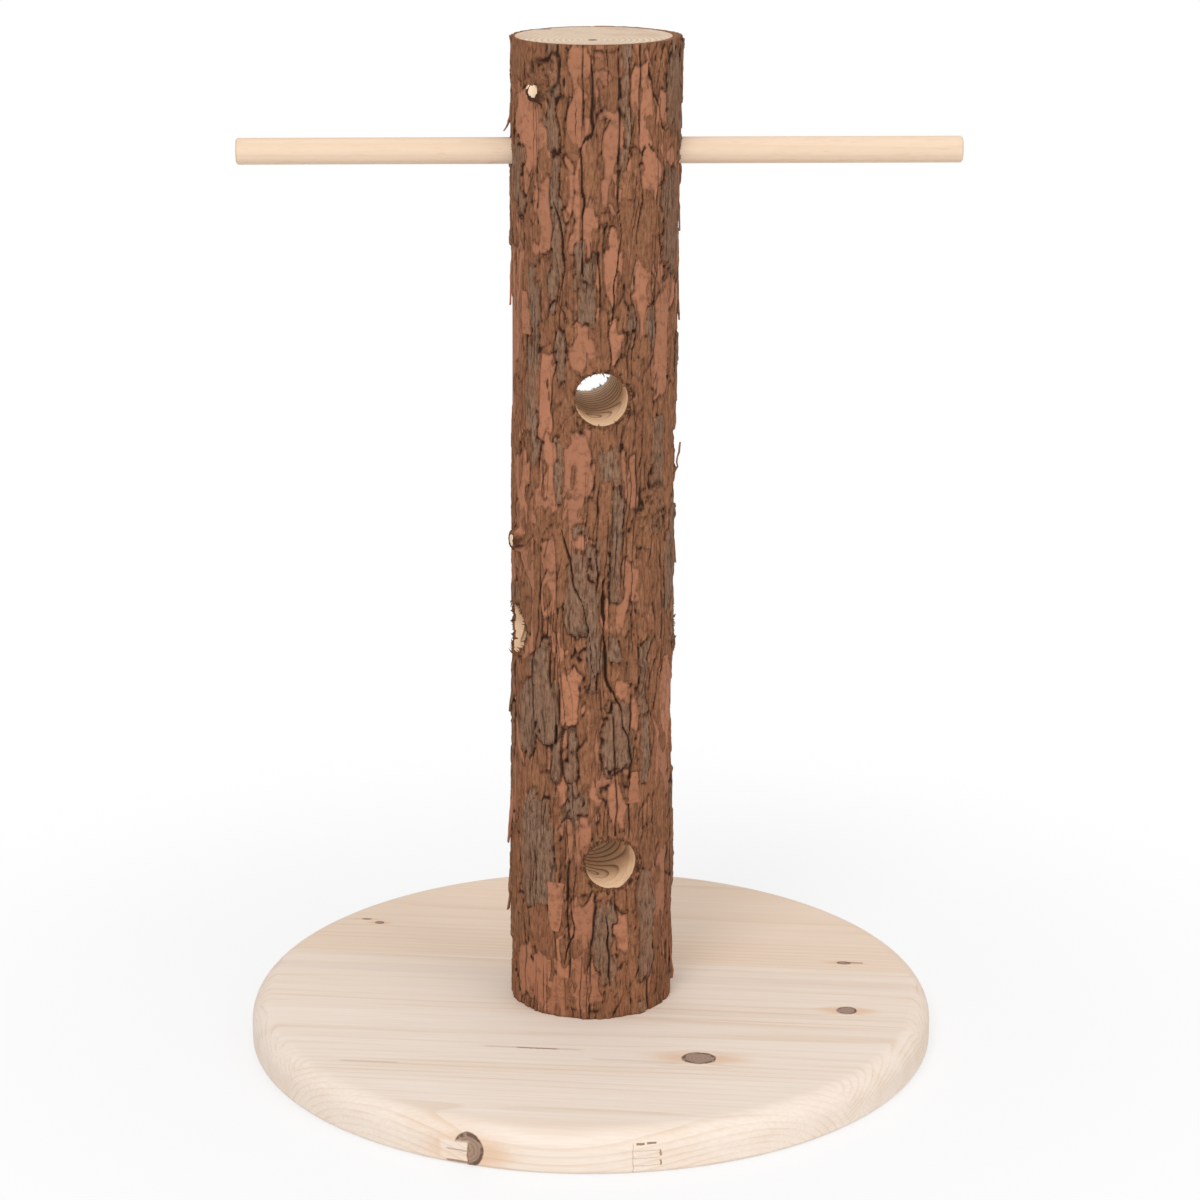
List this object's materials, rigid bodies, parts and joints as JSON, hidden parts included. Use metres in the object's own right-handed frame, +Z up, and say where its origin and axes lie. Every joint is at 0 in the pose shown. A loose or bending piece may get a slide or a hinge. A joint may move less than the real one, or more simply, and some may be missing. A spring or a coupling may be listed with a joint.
{
  "type": "bird feeding tree",
  "caption": "Free-standing bird feeding tree: a bark-covered log with drilled feed holes and a cross perch, screwed upright on a round softwood base.",
  "frame": {"origin": "centre of the base's underside", "axes": "+Z up along the log, +X along the perch, -Y towards the side with the upper and lower feed holes"},
  "size_m": [0.304, 0.3, 0.438],
  "materials": {
    "base_softwood": "bare sanded softwood",
    "log_wood": "sawn and drilled wood",
    "bark": "natural rough bark",
    "perch_wood": "bare planed hardwood",
    "screw_steel": "zinc plated"
  },
  "bodies": {
    "tree": {"base_stave_front_left": "base_softwood", "base_stave_front_middle": "base_softwood", "base_stave_front_right": "base_softwood", "base_stave_mid_front": "base_softwood", "base_stave_centre": "base_softwood", "base_stave_mid_back": "base_softwood", "base_stave_back": "base_softwood", "base_screws": "screw_steel", "log_core": "log_wood", "bark": "bark"},
    "perch_stick": {"perch": "perch_wood"}
  },
  "joints": [
    {"name": "perch_slide", "type": "slide", "parent": "tree", "child": "perch_stick", "axis": [1, 0, 0], "range_m": [-0.115, 0.107]}
  ]
}
